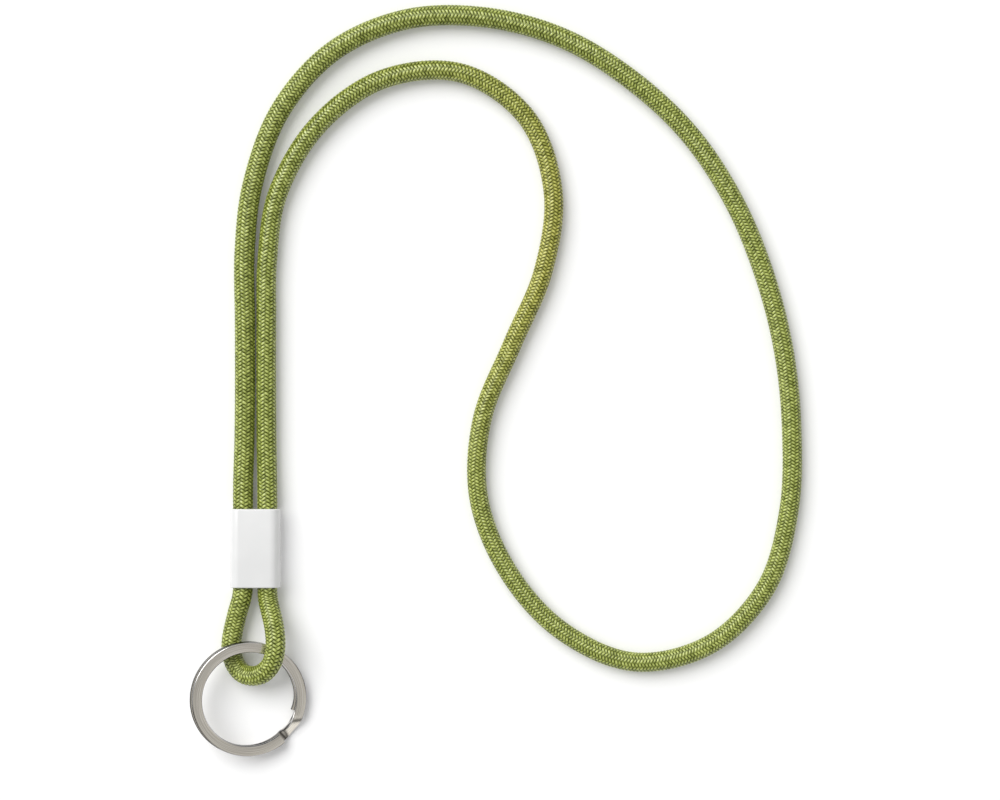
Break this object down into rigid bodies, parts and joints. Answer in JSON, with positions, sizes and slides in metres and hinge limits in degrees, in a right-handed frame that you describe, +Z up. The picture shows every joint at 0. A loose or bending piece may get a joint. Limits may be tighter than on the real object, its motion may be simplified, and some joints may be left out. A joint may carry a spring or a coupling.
{
  "type": "neck lanyard",
  "caption": "Braided round cord neck lanyard: a large loop, a moulded two-channel sleeve, a small key loop and a flat split ring.",
  "frame": {"origin": "centre of the sleeve's flat underside, on the surface that the lanyard lies on", "axes": "+Z up from that surface, +Y along the sleeve towards the neck loop, +X across the sleeve to the side where the neck loop is spread out"},
  "size_m": [0.1858, 0.2286, 0.0127],
  "materials": {
    "olive_braid": "tight round braid of slightly lustrous olive green filament yarn",
    "filler_yarn": "undyed straight filler yarn",
    "white_plastic": "smooth gloss moulded plastic",
    "nickel_plate": "nickel-plated spring steel, finely brushed flat faces and polished edges"
  },
  "bodies": {
    "sleeve": {"sleeve_front_shell": "white_plastic", "sleeve_back_shell": "white_plastic", "neck_cord_sheath": "olive_braid", "neck_cord_core": "filler_yarn"},
    "key_loop": {"key_loop_sheath": "olive_braid", "key_loop_core": "filler_yarn"},
    "split_ring": {"split_ring": "nickel_plate"}
  },
  "joints": [
    {"name": "key_loop_fold", "type": "hinge", "parent": "sleeve", "child": "key_loop", "pos_m": [0, -0.0156, 0.0041], "axis": [-1, 0, 0], "range_deg": [-80, 70]},
    {"name": "split_ring_turn", "type": "hinge", "parent": "key_loop", "child": "split_ring", "pos_m": [-0.0018, -0.0458, 0.00548], "axis": [0.2173, -0.0791, 0.9729], "continuous": true}
  ]
}
